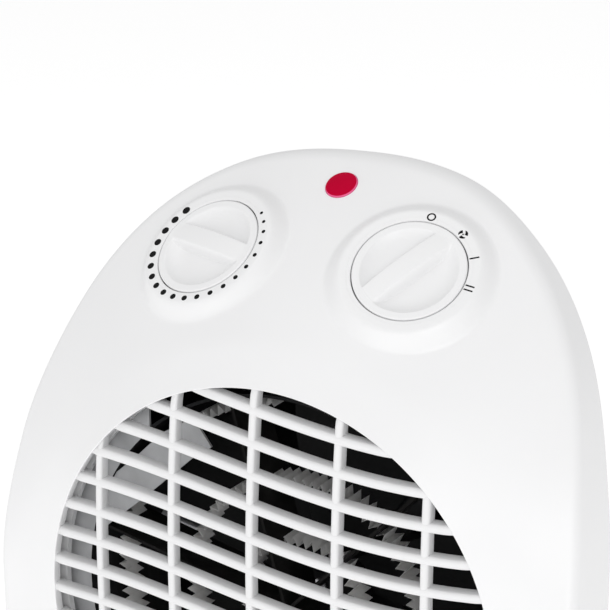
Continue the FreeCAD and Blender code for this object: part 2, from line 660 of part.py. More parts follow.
bearing_front = ycyl(7.0, SP_Y - 1.6, SP_Y + 6.0).cut(ycyl(SHAFT_R + 0.05, 40, 90))
MOT_Y0, MOT_Y1 = 68.0, 84.0
bearing_rear = ycyl(7.0, 88.2, 95.0).cut(ycyl(SHAFT_R + 0.05, 40, 99))
rearplate = box(-27, 27, 90.0, 91.6, -9, 18).cut(ycyl(7.0, 80, 99))
# spacer feet of the rear bearing plate
for s in (-1, 1):
    rearplate = rearplate.fuse(ycyl(3.6, MOT_Y1, 90.4, s * 22.0, 10.0))
for s in (-1, 1):
    rearplate = rearplate.cut(ycyl(2.0, 60, 99, s * 22.0, 10.0))
motor_end_plate = single(rearplate)
arms = motor_bracket
for s in (-1, 1):
    arms = arms.fuse(ycyl(3.6, SP_Y + 0.4, MOT_Y0, s * 22.0, 10.0))
    arms = arms.fuse(box(s * 22.0 - 4.5, s * 22.0 + 4.5, SP_Y, SP_Y + 1.8, 0, 14.5))
for s in (-1, 1):
    arms = arms.cut(ycyl(2.0, SP_Y - 1, 99, s * 22.0, 10.0))
motor_bracket = single(arms)

stator = box(-30, 30, MOT_Y0, MOT_Y1, -34, 22)
stator = stator.makeFillet(3.0, [e for e in stator.Edges if abs(e.tangentAt(e.FirstParameter).y) > 0.9])
stator = stator.cut(ycyl(14.7, 60, 99)).cut(box(-14.5, 14.5, 60, 99, -26, -17.2))
for s in (-1, 1):
    stator = stator.cut(ycyl(2.0, 60, 99, s * 22.0, 10.0))
motor_stator = single(stator)
coil = box(-13.5, 13.5, 64.0, 88.0, -41, -17.4)
coil = coil.makeFillet(3.0, [e for e in coil.Edges if abs(e.tangentAt(e.FirstParameter).x) > 0.9])
coil = coil.cut(box(-20, 20, MOT_Y0, MOT_Y1, -34, -26))
motor_coil = single(coil)
rotor = ycyl(14.2, MOT_Y0 - 1.0, MOT_Y1 + 1.0).cut(ycyl(SHAFT_R, 60, 99))
motor_rotor = rotor
motor_shaft = ycyl(SHAFT_R, 38.0, 97.0)
motor_screws = []
for s in (-1, 1):
    sc = ycyl(1.95, SP_Y - 1.2, 92.0, s * 22.0, 10.0).fuse(ycyl(3.4, 91.6, 93.8, s * 22.0, 10.0))
    motor_screws.append(single(sc))

# four twisted sheet blades on a hub
hub = ycyl(12.5, 43.0, 55.0).cut(ycyl(SHAFT_R, 30, 99))
fan = hub
NB = 5
for i in range(NB):
    secs = []
    for r, ang, ch in ((11.0, 42.0, 20.0), (28.0, 34.0, 34.0), (46.0, 26.0, 46.0), (63.0, 20.0, 52.0)):
        a = math.radians(ang)
        hw = ch / 2
        pts = []
        for s, t in ((-1, -0.45), (0, -0.45), (1, -0.45), (1, 0.45), (0, 0.45), (-1, 0.45)):
            lx = s * hw
            bow = 0.0 if s else 1.2 * (ch / 50.0)
            y = 49.3 + lx * math.sin(a) * 0.60 + (t + bow) * math.cos(a)
            xx = lx * math.cos(a) - (t + bow) * math.sin(a)
            pts.append(V(xx, y, r))
        secs.append(Part.makePolygon(pts + [pts[0]]))
    b = Part.makeLoft(secs, True, True)
    b.rotate(V(0, 0, 0), V(0, 1, 0), 360.0 / NB * i + 12)
    fan = fan.fuse(b)
fan = fan.common(ycyl(FAN_R, 38, 57.4)).cut(ycyl(SHAFT_R, 30, 99))
fan_blade = single(fan)
nut = Part.makePolygon([V(4.6 * math.cos(math.radians(60 * i)), 0, 4.6 * math.sin(math.radians(60 * i))) for i in range(7)])
nut = Part.Face(nut).extrude(V(0, 4.0, 0))
nut.translate(V(0, 39.0, 0))
fan_nut = nut.cut(ycyl(SHAFT_R, 30, 60))

# ------------------------------------------------------------------
# base parts: terminal block, gland, wires, feet, screws
# ------------------------------------------------------------------
tb = box(8.0, 40.0, 78.0, 90.0, -92.0, -82.0)
tb = tb.makeFillet(1.2, [e for e in tb.Edges if abs(e.tangentAt(e.FirstParameter).x) > 0.9])
for i in range(3):
    tb = tb.cut(cyl(2.2, V(13.5 + 10.5 * i, 84.0, -94.0), V(0, 0, 1), 14).cut(cyl(2.2, V(13.5 + 10.5 * i, 84.0, -90.0), V(0, 0, 1), 5.0)))
terminal_block = single(tb)

gl_y = BACK_Y
gland = ycyl(GLAND_R, gl_y - 6.0, gl_y - 0.2, GL_X, GL_Z)
gland = gland.fuse(ycyl(GLAND_R + 2.2, gl_y - 8.0, gl_y - 4.6, GL_X, GL_Z))
gland = gland.cut(ycyl(3.5, gl_y - 20, gl_y + 20, GL_X, GL_Z))
cord_inlet_gland = single(gland)

FEET = [(-58.0, 15.0), (58.0, 15.0), (-48.0, 86.0), (48.0, 86.0)]


rubber_feet = []
for x, y in FEET:
    zt = -96.0
    f = Part.makeCone(8.0, 9.5, 5.0, V(x, y, -AXIS_HEIGHT), V(0, 0, 1)).fuse(cyl(9.5, V(x, y, -AXIS_HEIGHT + 5.0), V(0, 0, 1), AXIS_HEIGHT - 5.0 + zt))
    f = f.cut(front_shell).cut(rear_shell)
    sol = sorted(f.Solids, key=lambda q: q.BoundBox.ZMin)
    rubber_feet.append(sol[0])

case_screws = []
for key, pts in (("top", POST_CASE_TOP), ("bot", POST_CASE_BOT)):
    for (x, z) in pts:
        yj = CASE_JOINT_Y[key]
        s = ycyl(1.4, yj - 14.0, yj + 6.2, x, z).fuse(ycyl(3.4, yj + 6.0, yj + 8.2, x, z))
        s = s.cut(box(x - 2.2, x + 2.2, yj + 7.2, yj + 9, z - 0.4, z + 0.4)).cut(box(x - 0.4, x + 0.4, yj + 7.2, yj + 9, z - 2.2, z + 2.2))
        case_screws.append(single(s))
bracket_screws = []
for x, z in POST_DUCT:
    y1 = SP_Y + 1.8
    s = ycyl(1.3, y1 - 14.0, y1 + 0.1, x, z).fuse(ycyl(3.2, y1, y1 + 2.0, x, z))
    s = s.cut(box(x - 2.0, x + 2.0, y1 + 1.1, y1 + 3, z - 0.4, z + 0.4))
    bracket_screws.append(single(s))

# ------------------------------------------------------------------
# export
# ------------------------------------------------------------------
nodes = {
    "front_shell": [front_shell],
    "front_grille": [front_grille],
    "rear_shell": [rear_shell],
    "rubber_feet": rubber_feet,
    "case_screws": case_screws,
    "indicator_lens": [indicator_lens],
    "neon_lamp": [neon_lamp],
    "thermostat_knob": [thermostat_knob],
    "thermostat_shaft": [thermostat_shaft],
    "thermostat_body": [thermostat_body],
    "selector_knob": [selector_knob],
    "selector_shaft": [selector_shaft],
    "selector_switch": [selector_switch],
    "control_brackets": control_brackets,
    "heat_duct": [heat_duct],
    "element_tab": [element_tab],
    "mica_frame": [mica_frame],
    "heating_ribbon": heating_ribbon,
    "thermal_cutout": [thermal_cutout],
    "thermal_fuse": [thermal_fuse],
    "motor_bracket": [motor_bracket],
    "bearing_front": [bearing_front],
    "bearing_rear": [bearing_rear],
    "motor_end_plate": [motor_end_plate],
    "motor_stator": [motor_stator],
    "motor_coil": [motor_coil],
    "motor_rotor": [motor_rotor],
    "motor_shaft": [motor_shaft],
    "motor_screws": motor_screws,
    "fan_blade": [fan_blade],
    "fan_nut": [fan_nut],
    "terminal_block": [terminal_block],
    "cord_inlet_gland": [cord_inlet_gland],
    "bracket_screws": bracket_screws,
}
ymin = min(s.optimalBoundingBox().YMin for s in (front_shell, front_grille))
ymax = rear_shell.optimalBoundingBox().YMax
Y_MID = round((ymin + ymax) / 2, 3)
SHIFT = V(0, -Y_MID, AXIS_HEIGHT)
print("ymin", ymin, "ymax", ymax, "shift", SHIFT)
for name, sols in nodes.items():
    sh = sols[0].copy() if len(sols) == 1 else Part.makeCompound([s.copy() for s in sols])
    sh.translate(SHIFT)
    bb = sh.BoundBox
    bad = [s for s in sh.Solids if not s.isValid()]
    print("%-18s solids %d vol %9.0f  x %.1f..%.1f y %.1f..%.1f z %.1f..%.1f %s" % (
        name, len(sh.Solids), sh.Volume, bb.XMin, bb.XMax, bb.YMin, bb.YMax, bb.ZMin, bb.ZMax, "INVALID" if bad else ""))
    sh.exportStep("parts/%s.step" % name)
for nm, o, n in (("thermostat", oL, nL), ("selector", oR, nR)):
    q = o + SHIFT
    print(nm, "pivot m", [round(c / 1000, 6) for c in (q.x, q.y, q.z)], "axis", [round(c, 8) for c in (n.x, n.y, n.z)])
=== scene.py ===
import math

import bmesh
import bpy
import numpy as np
from mathutils import Matrix, Vector


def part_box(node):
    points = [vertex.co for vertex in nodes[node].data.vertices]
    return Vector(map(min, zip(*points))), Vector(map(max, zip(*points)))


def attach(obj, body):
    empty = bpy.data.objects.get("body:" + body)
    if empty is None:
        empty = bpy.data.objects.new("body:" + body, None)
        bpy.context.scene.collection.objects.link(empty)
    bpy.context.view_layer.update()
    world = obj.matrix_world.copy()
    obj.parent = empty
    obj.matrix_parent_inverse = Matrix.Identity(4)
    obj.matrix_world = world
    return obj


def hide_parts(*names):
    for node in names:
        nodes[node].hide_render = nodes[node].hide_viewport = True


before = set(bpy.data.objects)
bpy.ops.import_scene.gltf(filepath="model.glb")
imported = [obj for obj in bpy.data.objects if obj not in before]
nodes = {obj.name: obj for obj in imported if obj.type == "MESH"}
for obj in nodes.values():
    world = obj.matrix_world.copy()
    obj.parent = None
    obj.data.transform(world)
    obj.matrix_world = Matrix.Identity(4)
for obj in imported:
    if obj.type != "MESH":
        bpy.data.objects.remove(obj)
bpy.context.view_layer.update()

# ------------------------------------------------------------------ frame
# working frame of the shape functions: mm, y = 0 at the outlet plane, z = 0 on the fan axis
YM = 106.0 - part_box("rear_shell")[1].y * 1000.0
ZM = 108.0


def W(p):
    return (p[0] / 1000.0, (p[1] - YM) / 1000.0, (p[2] + ZM) / 1000.0)


def Wn(a):
    a = np.asarray(a, float)
    return np.stack([a[..., 0], a[..., 1] - YM, a[..., 2] + ZM], -1) / 1000.0


# ------------------------------------------------------------------ shape of the housing
R_OPEN = 77.4
RIM_A, RIM_TOP, RIM_BOT, RIM_P, RIM_PB = 101.2, 135.8, 105.5, 2.52, 3.5
RING_R, RING_Y = 89.3, 8.5
CORNER_Y = [(-90, 3), (-45, 3), (0, 3), (25, 15.6), (45, 36.5), (60, 51.8), (75, 65.2), (90, 68.6), (105, 65.2), (120, 51.8)]
SIDE_W = [(-90, 24), (-45, 24), (0, 24.8), (45, 11.4), (75, 2.2), (90, 1.4), (105, 2.2), (135, 11.4)]
BOW = [(-90, .04), (0, .09), (90, .17), (120, .14)]
CORNER_R = 3.4
KNOB = (35.33, 33.15, 110.50)
KNOB_AZ, KNOB_EL, KNOB_R = 12.96, 48.70, 17.5
LENS = (0.0, 57.2, 128.25)
LENS_EL, LENS_R = 55.45, 5.35


def pchip(knots, x):
    xs = [k[0] for k in knots]
    ys = [k[1] for k in knots]
    n = len(xs)
    if x <= xs[0]:
        return ys[0]
    if x >= xs[-1]:
        return ys[-1]
    h = [xs[i + 1] - xs[i] for i in range(n - 1)]
    d = [(ys[i + 1] - ys[i]) / h[i] for i in range(n - 1)]
    m = [0.0] * n
    for i in range(1, n - 1):
        if d[i - 1] * d[i] > 0:
            w1 = 2 * h[i] + h[i - 1]
            w2 = h[i] + 2 * h[i - 1]
            m[i] = (w1 + w2) / (w1 / d[i - 1] + w2 / d[i])
    i = 0
    while x > xs[i + 1]:
        i += 1
    t = (x - xs[i]) / h[i]
    return ((2 * t**3 - 3 * t**2 + 1) * ys[i] + (t**3 - 2 * t**2 + t) * h[i] * m[i]
            + (-2 * t**3 + 3 * t**2) * ys[i + 1] + (t**3 - t**2) * h[i] * m[i + 1])


def superell(th, a, bt, bb, pt, pb):
    c, s = abs(math.cos(th)), math.sin(th)
    b, p = (bt, pt) if s >= 0 else (bb, pb)
    return ((c / a) ** p + (abs(s) / b) ** p) ** (-1.0 / p)


def smooth(t):
    t = max(0.0, min(1.0, t))
    return t * t * (3 - 2 * t)


def face_profile(th):
    deg = math.degrees(th)
    R = superell(th, RIM_A, RIM_TOP, RIM_BOT, RIM_P, RIM_PB)
    ye, w, k = pchip(CORNER_Y, deg), pchip(SIDE_W, deg), pchip(BOW, deg)
    sm = smooth(deg / 50.0)
    rb = RING_R + 3.0 * (1 - sm)
    yb = 2.4 + (RING_Y - 2.4) * sm
    L = math.hypot(R - rb, ye - yb)

    def panel(t):
        return rb + (R - rb) * t, yb + (ye - yb) * ((1 - k) * t + k * t * t)
    pts = [(R_OPEN + (rb - R_OPEN) * t, yb * t) for t in (0.0, 0.25, 0.5, 0.72)]
    t0 = min(0.16, 4.0 / L)
    p0 = (R_OPEN + (rb - R_OPEN) * 0.86, yb * 0.86)
    p1, p2 = (rb, yb), panel(t0)
    for t in (0.0, 0.25, 0.5, 0.75, 1.0):
        pts.append(((1 - t)**2 * p0[0] + 2 * t * (1 - t) * p1[0] + t * t * p2[0],
                    (1 - t)**2 * p0[1] + 2 * t * (1 - t) * p1[1] + t * t * p2[1]))
    cut = max(0.45, 1 - CORNER_R / L)
    for i in range(1, 13):
        pts.append(panel(t0 + (cut - t0) * i / 12.0))
    s0 = panel(cut)
    dr = R - rb
    dy = (ye - yb) * ((1 - k) + 2 * k * cut)
    cy = s0[1] + dy / dr * (R - s0[0])
    e = cy + CORNER_R
    for i in range(1, 7):
        t = i / 6.0
        pts.append(((1 - t)**2 * s0[0] + 2 * t * (1 - t) * R + t * t * R,
                    (1 - t)**2 * s0[1] + 2 * t * (1 - t) * cy + t * t * e))
    for i in range(1, 5):
        pts.append((R, e + w * i / 4.0))
    return pts


def bspline_matrix(n, ts):
    """clamped uniform cubic basis, len(ts) rows by n poles, ts in 0..1"""
    kn = [0.0] * 3 + [float(i) for i in range(n - 2)] + [float(n - 3)] * 3
    B = np.zeros((len(ts), n))
    for a, t in enumerate(ts):
        x = min(t * (n - 3), n - 3 - 1e-9)
        N = [1.0 if kn[i] <= x < kn[i + 1] else 0.0 for i in range(len(kn) - 1)]
        for d in range(1, 4):
            M = []
            for i in range(len(kn) - 1 - d):
                l = (x - kn[i]) / (kn[i + d] - kn[i]) * N[i] if kn[i + d] > kn[i] else 0.0
                r = (kn[i + d + 1] - x) / (kn[i + d + 1] - kn[i + 1]) * N[i + 1] if kn[i + d + 1] > kn[i + 1] else 0.0
                M.append(l + r)
            N = M
        B[a] = N[:n]
    return B


def plane_frame(az, el, side):
    a, e = math.radians(az), math.radians(el)
    n = Vector((side * math.sin(a) * math.cos(e), -math.cos(a) * math.cos(e), math.sin(e)))
    u = Vector((0, 0, 1)).cross(n).normalized()
    return u, n.cross(u), n


FR_L = plane_frame(KNOB_AZ, KNOB_EL, -1) + (Vector((-KNOB[0], KNOB[1], KNOB[2])),)
FR_R = plane_frame(KNOB_AZ, KNOB_EL, 1) + (Vector(KNOB),)
FR_T = plane_frame(0.0, LENS_EL, 1) + (Vector(LENS),)


def loc(fr, a, b, h):
    u, v, n, o = fr
    return o + u * a + v * b + n * h


# ------------------------------------------------------------------ materials
def plastic(name, col, rough, bump=0.02, scale=900.0, coat=0.0, vary=0.03, emit=0.0, noise2=38.0, spec=0.5):
    m = bpy.data.materials.new(name)
    m.use_nodes = True
    nt = m.node_tree
    b = nt.nodes["Principled BSDF"]
    tc = nt.nodes.new("ShaderNodeTexCoord")
    fine = nt.nodes.new("ShaderNodeTexNoise")
    fine.inputs["Scale"].default_value = scale
    fine.inputs["Detail"].default_value = 3.0
    broad = nt.nodes.new("ShaderNodeTexNoise")
    broad.inputs["Scale"].default_value = noise2
    nt.links.new(tc.outputs["Object"], fine.inputs["Vector"])
    nt.links.new(tc.outputs["Object"], broad.inputs["Vector"])
    ramp = nt.nodes.new("ShaderNodeValToRGB")
    ramp.color_ramp.elements[0].position = 0.3
    ramp.color_ramp.elements[1].position = 0.7
    lo = [c * (1 - vary) for c in col]
    hi = [min(1.0, c * (1 + vary)) for c in col]
    ramp.color_ramp.elements[0].color = lo + [1]
    ramp.color_ramp.elements[1].color = hi + [1]
    nt.links.new(broad.outputs["Fac"], ramp.inputs["Fac"])
    nt.links.new(ramp.outputs["Color"], b.inputs["Base Color"])
    mr = nt.nodes.new("ShaderNodeMapRange")
    mr.inputs["To Min"].default_value = max(0.02, rough - 0.05)
    mr.inputs["To Max"].default_value = min(1.0, rough + 0.05)
    nt.links.new(fine.outputs["Fac"], mr.inputs["Value"])
    nt.links.new(mr.outputs["Result"], b.inputs["Roughness"])
    bp = nt.nodes.new("ShaderNodeBump")
    bp.inputs["Strength"].default_value = bump
    bp.inputs["Distance"].default_value = 0.0003
    nt.links.new(fine.outputs["Fac"], bp.inputs["Height"])
    nt.links.new(bp.outputs["Normal"], b.inputs["Normal"])
    b.inputs["Coat Weight"].default_value = coat
    b.inputs["Specular IOR Level"].default_value = spec
    b.inputs["IOR"].default_value = 1.5
    if emit:
        b.inputs["Emission Color"].default_value = list(col) + [1]
        b.inputs["Emission Strength"].default_value = emit
    return m


def metal(name, col, rough, scale=300.0, streak=(1, 1, 1), vary=0.12, metallic=1.0, bump=0.08):
    m = plastic(name, col, rough, bump=bump, scale=scale, vary=vary, noise2=120.0)
    nt = m.node_tree
    b = nt.nodes["Principled BSDF"]
    b.inputs["Metallic"].default_value = metallic
    tc = [n for n in nt.nodes if n.type == "TEX_COORD"][0]
    mp = nt.nodes.new("ShaderNodeMapping")
    mp.inputs["Scale"].default_value = streak
    nt.links.new(tc.outputs["Object"], mp.inputs["Vector"])
    for n in nt.nodes:
        if n.type == "TEX_NOISE":
            nt.links.new(mp.outputs["Vector"], n.inputs["Vector"])
    return m


M = {}
M["white"] = plastic("white_plastic", (0.84, 0.84, 0.845), 0.34, bump=0.015, scale=1500, vary=0.004)
M["white_rear"] = plastic("white_plastic_rear", (0.80, 0.80, 0.805), 0.5, bump=0.10, scale=1800, vary=0.006)
M["white_grille"] = plastic("white_plastic_grille", (0.785, 0.785, 0.79), 0.38, bump=0.015, scale=1500, vary=0.004)
M["knob"] = plastic("white_knob", (0.84, 0.84, 0.845), 0.36, bump=0.015, scale=1500, vary=0.004)
M["ink"] = plastic("black_ink", (0.004, 0.004, 0.0045), 0.7, spec=0.15, bump=0.03, scale=3000, vary=0.1)
M["red"] = plastic("red_lens", (0.50, 0.0012, 0.030), 0.35, bump=0.02, scale=1400, vary=0.05, spec=0.015)
# painted highlight: a lighter pink copy of the lens red for the rounded rim, standing for its bright edge reflection
M["red_rim"] = plastic("red_lens_rim_painted_highlight", (0.80, 0.10, 0.27), 0.3, bump=0.02, scale=1400, vary=0.04, spec=0.4)
M["rubber"] = plastic("rubber", (0.03, 0.03, 0.03), 0.8, bump=0.3, scale=1600, vary=0.12)
M["zinc"] = metal("zinc_steel", (0.60, 0.61, 0.63), 0.32, scale=500)
M["sheet"] = metal("sheet_steel", (0.52, 0.525, 0.535), 0.5, scale=240, streak=(1, 6, 1), vary=0.10, metallic=0.25)
# painted shade: the duct wall is coloured near-black to stand for the unlit inside of the duct, not a heat tint of the
# steel
M["duct_wall"] = metal("duct_wall_painted_shade", (0.02, 0.02, 0.021), 0.7, scale=300, streak=(1, 6, 1), metallic=0.0, vary=0.2)
M["duct_wall"].node_tree.nodes["Principled BSDF"].inputs["Specular IOR Level"].default_value = 0.08
# painted shade: near-black on the rear shell's inside faces stands for the unlit interior, not a dark finish of the
# plastic
M["rear_inside_painted_shade"] = plastic("rear_shell_inside_painted_shade", (0.02, 0.02, 0.021), 0.8, bump=0.15, scale=900, vary=0.1, spec=0.08)
M["glass"] = plastic("lamp_glass", (0.75, 0.55, 0.50), 0.08, bump=0.01, scale=800, vary=0.02, coat=0.5)
M["phenolic"] = plastic("dark_phenolic", (0.06, 0.04, 0.03), 0.5, bump=0.12, scale=1000, vary=0.15)
M["nylon"] = plastic("switch_nylon", (0.62, 0.60, 0.55), 0.5, bump=0.08, scale=1000, vary=0.04)
M["mica"] = plastic("mica", (0.013, 0.0125, 0.012), 0.75, spec=0.12, bump=0.5, scale=420, vary=0.35, noise2=90)
M["nichrome"] = metal("nichrome", (0.90, 0.89, 0.88), 0.45, scale=700, vary=0.12, metallic=0.15)
M["bronze"] = metal("bronze", (0.45, 0.30, 0.15), 0.42, scale=1200)
M["lamination"] = metal("lamination", (0.016, 0.016, 0.018), 0.6, scale=900, streak=(1, 10, 1), metallic=0.5)
M["copper"] = metal("copper_wire", (0.42, 0.16, 0.07), 0.35, scale=900, streak=(1, 9, 1))
M["steel"] = metal("bright_steel", (0.66, 0.66, 0.68), 0.22, scale=800, streak=(1, 0.2, 1))
M["fan"] = plastic("black_fan", (0.013, 0.013, 0.0135), 0.7, spec=0.15, bump=0.1, scale=900, vary=0.15)
M["gland"] = plastic("dark_rubber", (0.025, 0.025, 0.025), 0.75, bump=0.25, scale=1500, vary=0.12)

NODE_MAT = {
    "front_shell": "white", "front_grille": "white", "rear_shell": "white_rear", "rubber_feet": "rubber",
    "case_screws": "zinc", "indicator_lens": "red", "neon_lamp": "glass", "thermostat_knob": "knob",
    "thermostat_shaft": "zinc", "thermostat_body": "phenolic", "selector_knob": "knob", "selector_shaft": "nylon",
    "selector_switch": "nylon", "control_brackets": "zinc", "heat_duct": "sheet", "element_tab": "sheet",
    "mica_frame": "mica", "heating_ribbon": "nichrome", "thermal_cutout": "zinc", "thermal_fuse": "zinc",
    "motor_bracket": "lamination", "bearing_front": "bronze", "bearing_rear": "bronze", "motor_end_plate": "sheet",
    "motor_stator": "lamination", "motor_coil": "copper", "motor_rotor": "lamination", "motor_shaft": "steel",
    "motor_screws": "zinc", "fan_blade": "fan", "fan_nut": "lamination", "terminal_block": "nylon",
    "cord_inlet_gland": "gland", "bracket_screws": "zinc"}
for n, o in nodes.items():
    o.data.materials.clear()
    o.data.materials.append(M[NODE_MAT[n]])
    for p in o.data.polygons:
        p.use_smooth = True
    o.data.set_sharp_from_angle(angle=math.radians(28))

# painted shade over part of a piece: the duct wall (and its flange where it is out of the light) goes near-black
# against the lit flange sides, and the inside of the rear shell goes near-black against its outside, away from the
# screw recesses
quads = {}
o = nodes["case_screws"]
for vv in o.data.vertices:
    c = o.matrix_world @ vv.co
    quads.setdefault((c.x > 0, c.z * 1000 - ZM > 0), []).append((c.x * 1000, c.z * 1000 - ZM))
SCREWS = [tuple(np.mean(np.array(q), axis=0)) for q in quads.values()]


def by_screw(c):
    """near a case screw's axis, where a recess is open to the outside"""
    return min(math.hypot(c[0] - a_, c[2] - b_) for a_, b_ in SCREWS) < 9.0


for n, slot, rule in (("heat_duct", "duct_wall", lambda c, q: not (c[1] < 13.05 and math.hypot(c[0], c[2]) > 72.1 and abs(c[0]) > 45.0)),
                      ("rear_shell", "rear_inside_painted_shade", lambda c, q: not by_screw(c) and q[0] * c[0] + q[1] * (c[1] - 35.0) + q[2] * (c[2] - 5.0) < -0.3 * math.hypot(c[0], c[1] - 35.0, c[2] - 5.0))):
    o = nodes[n]
    o.data.materials.append(M[slot])
    mw = o.matrix_world
    r3 = mw.to_3x3()
    for p in o.data.polygons:
        c = mw @ p.center
        if rule((c.x * 1000, c.y * 1000 + YM, c.z * 1000 - ZM), (r3 @ p.normal).normalized()):
            p.material_index = 1


# ------------------------------------------------------------------ mesh helpers
def make(name, verts, faces, mat, body="housing", sharp=32, world=False):
    me = bpy.data.meshes.new(name)
    v = np.asarray(verts, float)
    if not world:
        v = Wn(v)
    me.from_pydata([tuple(p) for p in v], [], faces)
    me.validate()
    bm = bmesh.new()
    bm.from_mesh(me)
    bmesh.ops.remove_doubles(bm, verts=bm.verts, dist=1e-7)
    bmesh.ops.dissolve_degenerate(bm, edges=bm.edges, dist=1e-8)
    wire = [e for e in bm.edges if not e.link_faces]
    bmesh.ops.delete(bm, geom=wire, context="EDGES")
    bmesh.ops.recalc_face_normals(bm, faces=bm.faces)
    bm.to_mesh(me)
    bm.free()
    for p in me.polygons:
        p.use_smooth = True
    me.set_sharp_from_angle(angle=math.radians(sharp))
    me.materials.append(mat)
    o = bpy.data.objects.new(name, me)
    bpy.context.scene.collection.objects.link(o)
    return o


def loop_faces(nu, nv, close_u=True, close_v=True):
    f = []
    for i in range(nu if close_u else nu - 1):
        for j in range(nv if close_v else nv - 1):
            a, b = i * nv + j, ((i + 1) % nu) * nv + j
            c, d = ((i + 1) % nu) * nv + (j + 1) % nv, i * nv + (j + 1) % nv
            f.append((a, b, c, d))
    return f


def revolve(prof, fr, seg=96):
    """closed (rho, h) loop turned about the frame's n axis; an end on the axis becomes one vertex"""
    ps = []
    for k in range(seg):
        a = 2 * math.pi * k / seg
        for rho, h in prof:
            ps.append(tuple(loc(fr, rho * math.cos(a), rho * math.sin(a), h)))
    return ps, loop_faces(seg, len(prof))


def merge(parts):
    V, F = [], []
    for v, f in parts:
        o = len(V)
        V += [tuple(p) for p in v]
        F += [tuple(i + o for i in q) for q in f]
    return V, F


AX_Y = (Vector((1, 0, 0)), Vector((0, 0, 1)), Vector((0, 1, 0)), Vector((0, 0, 0)))

# ------------------------------------------------------------------ front shell
degs = []
a = -90.0
while a < 270.0 - 1e-6:
    degs.append(a)
    f = (a + 360) % 360
    near = 48 < f < 96 or 84 < f < 132
    a += 0.25 if near else (0.6 if 30 < f < 150 else 1.25)
NPOLE = len(face_profile(0.8))
dense = np.linspace(0, 1, 1500)
Bd = bspline_matrix(NPOLE, dense)
ref = Bd @ np.array(face_profile(math.radians(70)))
s = np.concatenate([[0], np.cumsum(np.hypot(*np.diff(ref, axis=0).T))])
ts = np.interp(np.linspace(0, s[-1], int(s[-1] / 0.5)), s, dense)
Bm = bspline_matrix(NPOLE, ts)
LIP_IN, LIP_R = 3.4, 0.35
rows = []
for dg in degs:
    d = dg if dg <= 90 else 180 - dg
    th = math.radians(d)
    P = Bm @ np.array(face_profile(th))
    keep = P[P[:, 0] > R_OPEN + LIP_R + 0.05]
    y1 = float(np.interp(R_OPEN + LIP_R, P[:12, 0], P[:12, 1]))
    want = len(P) - 1
    lip = [(R_OPEN, LIP_IN), (R_OPEN, y1 + LIP_R)]
    for q in range(1, 7):
        b = math.pi / 2 * q / 6
        lip.append((R_OPEN + LIP_R - LIP_R * math.cos(b), y1 + LIP_R - LIP_R * math.sin(b)))
    out = np.array(lip + [tuple(p) for p in keep])
    # same count on every row
    seg = np.concatenate([[0], np.cumsum(np.hypot(*np.diff(keep, axis=0).T))])
    sn = np.interp(np.linspace(0, 1, want), np.linspace(0, 1, len(seg)), seg)
    kk = np.stack([np.interp(sn, seg, keep[:, 0]), np.interp(sn, seg, keep[:, 1])], -1)
    out = np.concatenate([np.array(lip), kk])
    inner = np.array(face_profile(th))[::-1]
    tang = np.gradient(inner, axis=0)
    nn = np.stack([-tang[:, 1], tang[:, 0]], -1)
    nn /= np.maximum(1e-9, np.linalg.norm(nn, axis=1))[:, None]
    if nn[0][0] > 0:
        nn = -nn
    inner = inner + nn * 2.0
    inner = inner[inner[:, 0] > R_OPEN + 2.2]
    m = 26
    si = np.concatenate([[0], np.cumsum(np.hypot(*np.diff(inner, axis=0).T))])
    ii = np.stack([np.interp(np.linspace(0, si[-1], m), si, inner[:, 0]), np.interp(np.linspace(0, si[-1], m), si, inner[:, 1])], -1)
    prof = np.concatenate([out, ii, [[R_OPEN + 2.0, max(LIP_IN, ii[-1][1])], [R_OPEN + 2.0, LIP_IN]]])
    t = math.radians(dg)
    rows.append(np.stack([prof[:, 0] * math.cos(t), prof[:, 1], prof[:, 0] * math.sin(t)], -1))
NOUT = len(out)
G = np.array(rows)
for fr in (FR_L, FR_R):
    n, o = np.array(fr[2]), np.array(fr[3])
    q = G[:, :NOUT] - o
    h = q @ n
    rho = np.linalg.norm(q - h[..., None] * n, axis=-1)
    t = np.clip((rho - 21.3) / (27.4 - 21.3), 0, 1)
    w = 1 - t * t * (3 - 2 * t)
    w = np.where((np.abs(h) < 25), w, 0)
    G[:, :NOUT] += (w * (0.0 - h))[..., None] * n
shell = make("front_shell_v", G.reshape(-1, 3), loop_faces(len(degs), G.shape[1]), M["white"], sharp=38)


def drill(obj, fr, r, h0, h1, seg=128):
    v, f = [], []
    for h in (h0, h1):
        for k in range(seg):
            b = 2 * math.pi * k / seg
            v.append(tuple(loc(fr, r * math.cos(b), r * math.sin(b), h)))
    f = [(k, (k + 1) % seg, seg + (k + 1) % seg, seg + k) for k in range(seg)]
    f += [tuple(range(seg))[::-1], tuple(range(seg, 2 * seg))]
    c = make("cutter", v, f, M["white"])
    md = obj.modifiers.new("b", "BOOLEAN")
    md.operation, md.object, md.solver = "DIFFERENCE", c, "EXACT"
    dg = bpy.context.evaluated_depsgraph_get()
    me = bpy.data.meshes.new_from_object(obj.evaluated_get(dg))
    obj.modifiers.clear()
    old = obj.data
    obj.data = me
    bpy.data.meshes.remove(old)
    bpy.data.objects.remove(c)
    for p in me.polygons:
        p.use_smooth = True
    me.set_sharp_from_angle(angle=math.radians(38))


drill(shell, FR_L, 19.4, -14, 6)
drill(shell, FR_R, 19.4, -14, 6)
drill(shell, FR_T, LENS_R + 0.08, -9, 8)
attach(shell, "housing")
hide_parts("front_shell")

